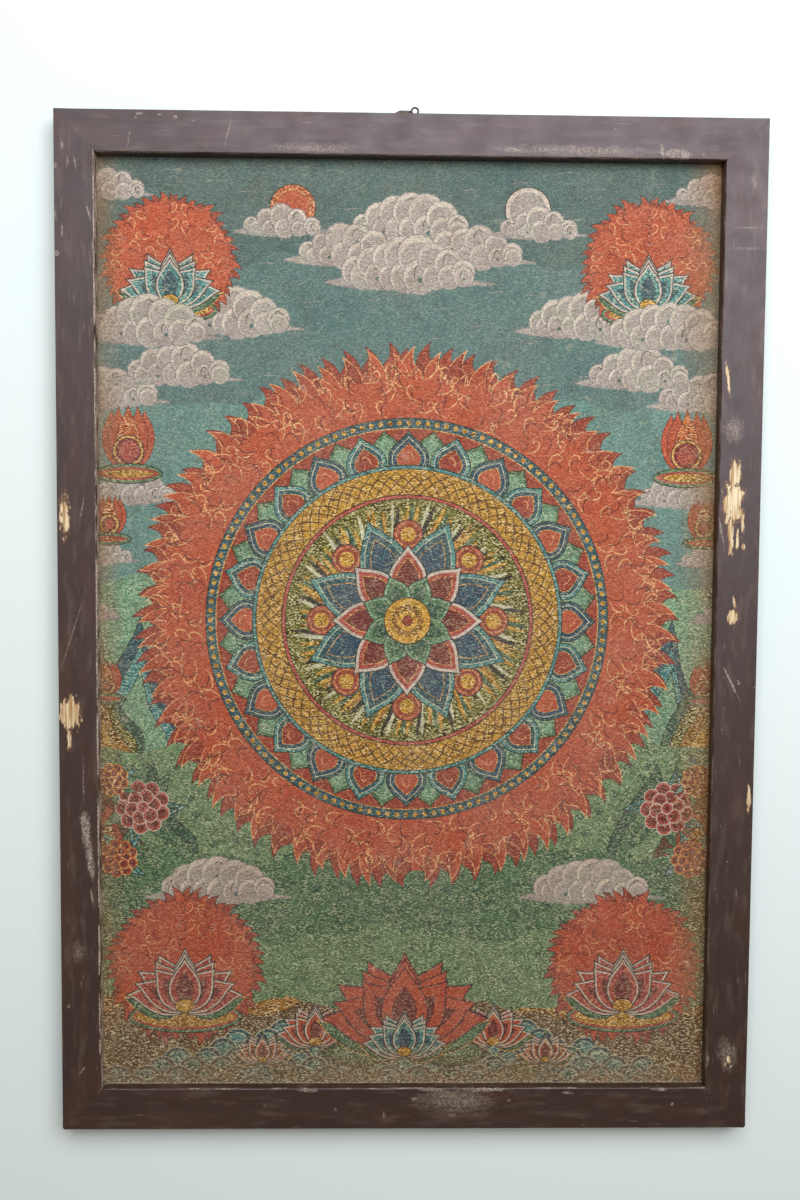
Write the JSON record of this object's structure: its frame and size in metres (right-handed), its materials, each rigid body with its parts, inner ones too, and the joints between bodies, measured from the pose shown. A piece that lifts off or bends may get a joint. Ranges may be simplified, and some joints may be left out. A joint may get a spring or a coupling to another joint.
{
  "type": "thangka textile in a wooden frame",
  "caption": "Large woven textile picture in brick, teal, green and gold, held flat behind the lip of a plain brown mitred wooden frame with a hanging eye at the top.",
  "frame": {"origin": "middle of the footprint, hanging eye counted in, on the plane of the frame's back face that the part rests on", "axes": "+Z out of the picture's face, +Y towards the top of the picture, +X to the right as the picture is looked at"},
  "size_m": [0.9, 1.323, 0.034],
  "materials": {
    "painted_wood": "worn semi-gloss dark brown paint with chips to bare wood",
    "woven_cloth": "matte dense brocade weave with gilt threads, soiled at the edges",
    "dark_iron": "dark rusted wire",
    "painted_steel": "dull grey-brown paint"
  },
  "bodies": {
    "root": {"top_rail": "painted_wood", "bottom_rail": "painted_wood", "left_stile": "painted_wood", "right_stile": "painted_wood", "cloth": "woven_cloth", "hanger_eye": "dark_iron", "hanger_plate": "painted_steel"}
  },
  "joints": []
}
